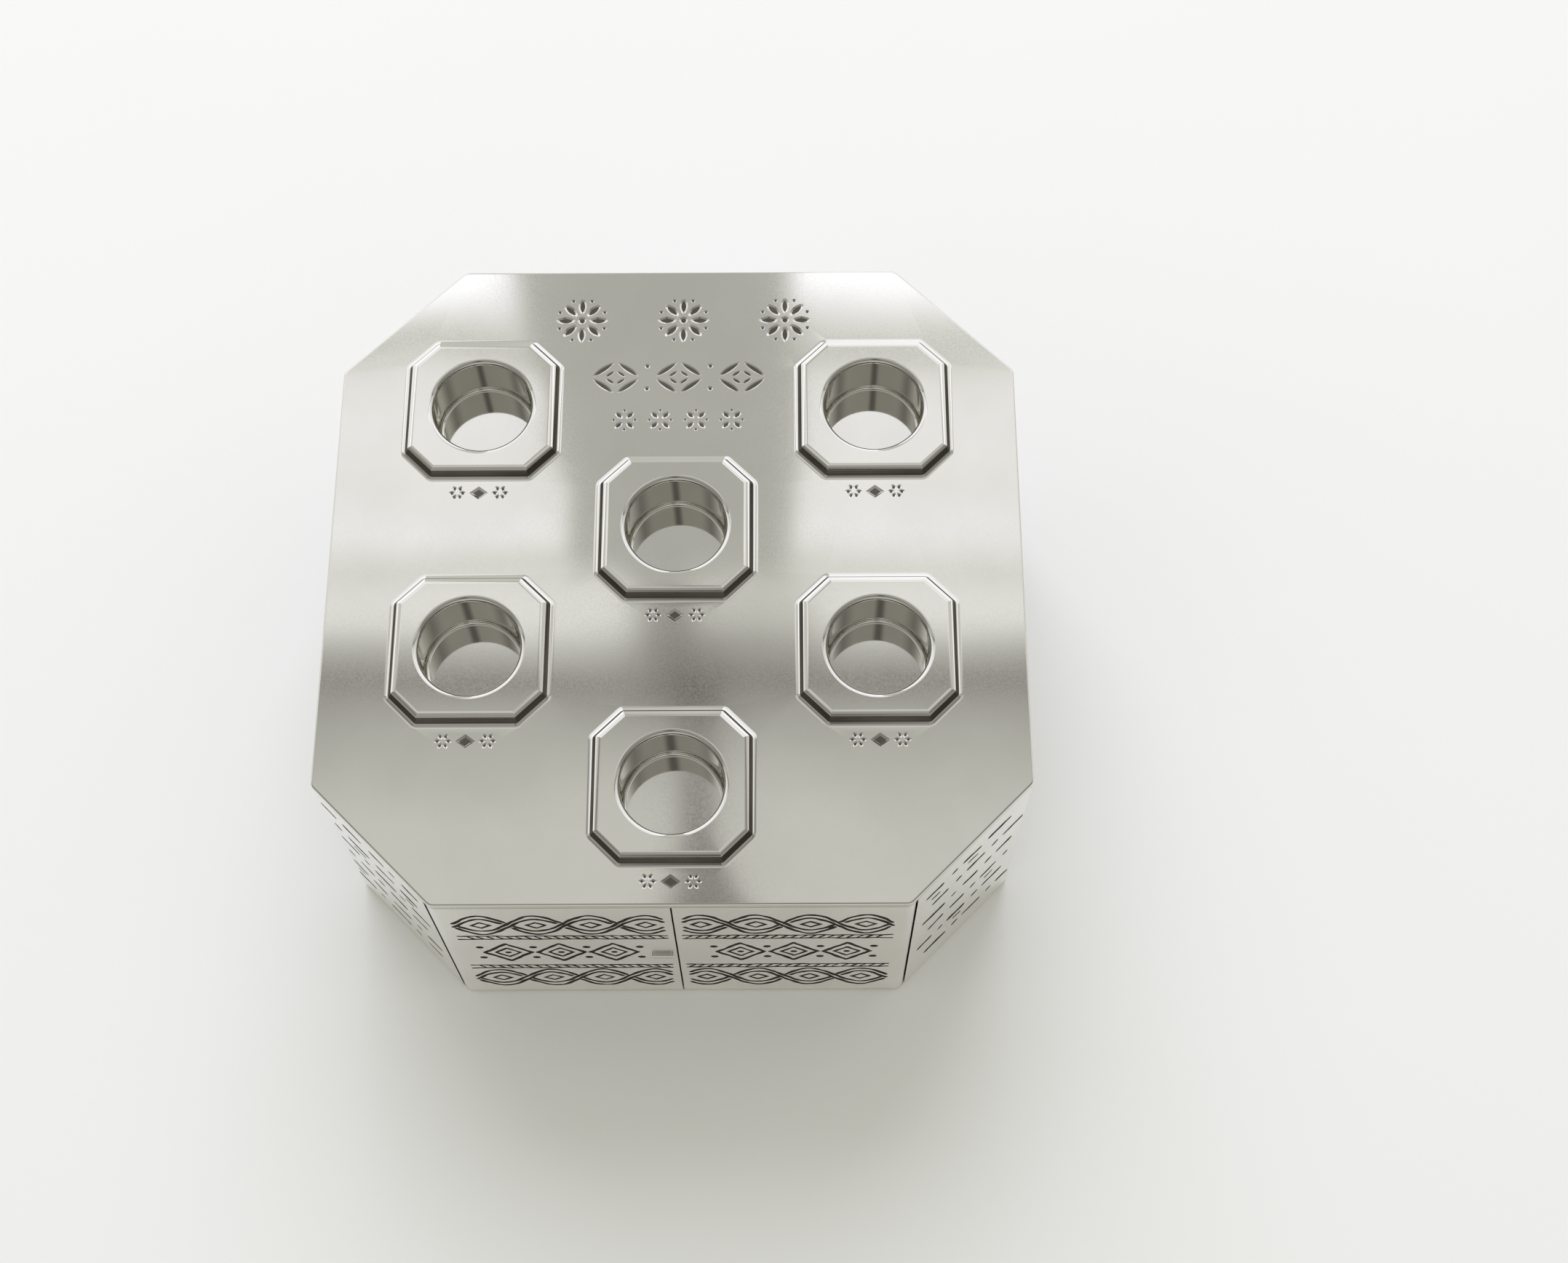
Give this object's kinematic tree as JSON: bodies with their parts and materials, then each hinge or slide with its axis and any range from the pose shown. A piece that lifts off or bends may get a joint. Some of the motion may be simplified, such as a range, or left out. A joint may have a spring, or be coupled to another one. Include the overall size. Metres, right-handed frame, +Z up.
{
  "type": "tiered seder plate",
  "caption": "Eight-sided silver seder plate case with lift-out dishes in its top and a pair of front doors over tiers for matzah.",
  "frame": {"origin": "on the table under the centre of the footprint", "axes": "+Z up; the doors face -Y; +X to the right as seen from the doors"},
  "size_m": [0.34, 0.342, 0.1598],
  "materials": {
    "silver_plate": "satin silver plate on brass",
    "etched_silver": "satin silver plate with dark etched line ornament",
    "polished_silver": "mirror-polished silver plate",
    "steel": "turned bright steel",
    "magnet": "nickel-plated magnet",
    "rubber": "matt black rubber"
  },
  "bodies": {
    "case": {"base_plate": "silver_plate", "rubber_feet": "rubber", "wall_band": "silver_plate", "top_plate": "silver_plate", "left_hinge_rod": "steel", "right_hinge_rod": "steel", "hinge_washers": "steel", "catch_bracket": "steel", "catch_magnets": "magnet", "lower_shelf": "silver_plate", "upper_shelf": "silver_plate", "tie_rods": "steel", "tie_nuts": "steel", "lower_spacers": "silver_plate", "middle_spacers": "silver_plate", "upper_spacers": "silver_plate"},
    "left_leaf": {"left_door": "etched_silver", "door_handle": "silver_plate", "handle_nut": "steel", "left_strike": "steel"},
    "right_leaf": {"right_door": "etched_silver", "right_strike": "steel"},
    "back_left_cup": {"back_left_dish": "polished_silver"},
    "back_right_cup": {"back_right_dish": "polished_silver"},
    "centre_cup": {"centre_dish": "polished_silver"},
    "middle_left_cup": {"middle_left_dish": "polished_silver"},
    "middle_right_cup": {"middle_right_dish": "polished_silver"},
    "front_cup": {"front_dish": "polished_silver"}
  },
  "joints": [
    {"name": "left_door_hinge", "type": "hinge", "parent": "case", "child": "left_leaf", "pos_m": [-0.10893, -0.165, 0.077], "axis": [0, 0, -1], "range_deg": [0, 100]},
    {"name": "right_door_hinge", "type": "hinge", "parent": "case", "child": "right_leaf", "pos_m": [0.10893, -0.165, 0.077], "axis": [0, 0, 1], "range_deg": [0, 100]},
    {"name": "back_left_lift", "type": "slide", "parent": "case", "child": "back_left_cup", "axis": [0, 0, 1], "range_m": [0, 0.08]},
    {"name": "back_right_lift", "type": "slide", "parent": "case", "child": "back_right_cup", "axis": [0, 0, 1], "range_m": [0, 0.08]},
    {"name": "centre_lift", "type": "slide", "parent": "case", "child": "centre_cup", "axis": [0, 0, 1], "range_m": [0, 0.08]},
    {"name": "middle_left_lift", "type": "slide", "parent": "case", "child": "middle_left_cup", "axis": [0, 0, 1], "range_m": [0, 0.08]},
    {"name": "middle_right_lift", "type": "slide", "parent": "case", "child": "middle_right_cup", "axis": [0, 0, 1], "range_m": [0, 0.08]},
    {"name": "front_lift", "type": "slide", "parent": "case", "child": "front_cup", "axis": [0, 0, 1], "range_m": [0, 0.08]}
  ]
}
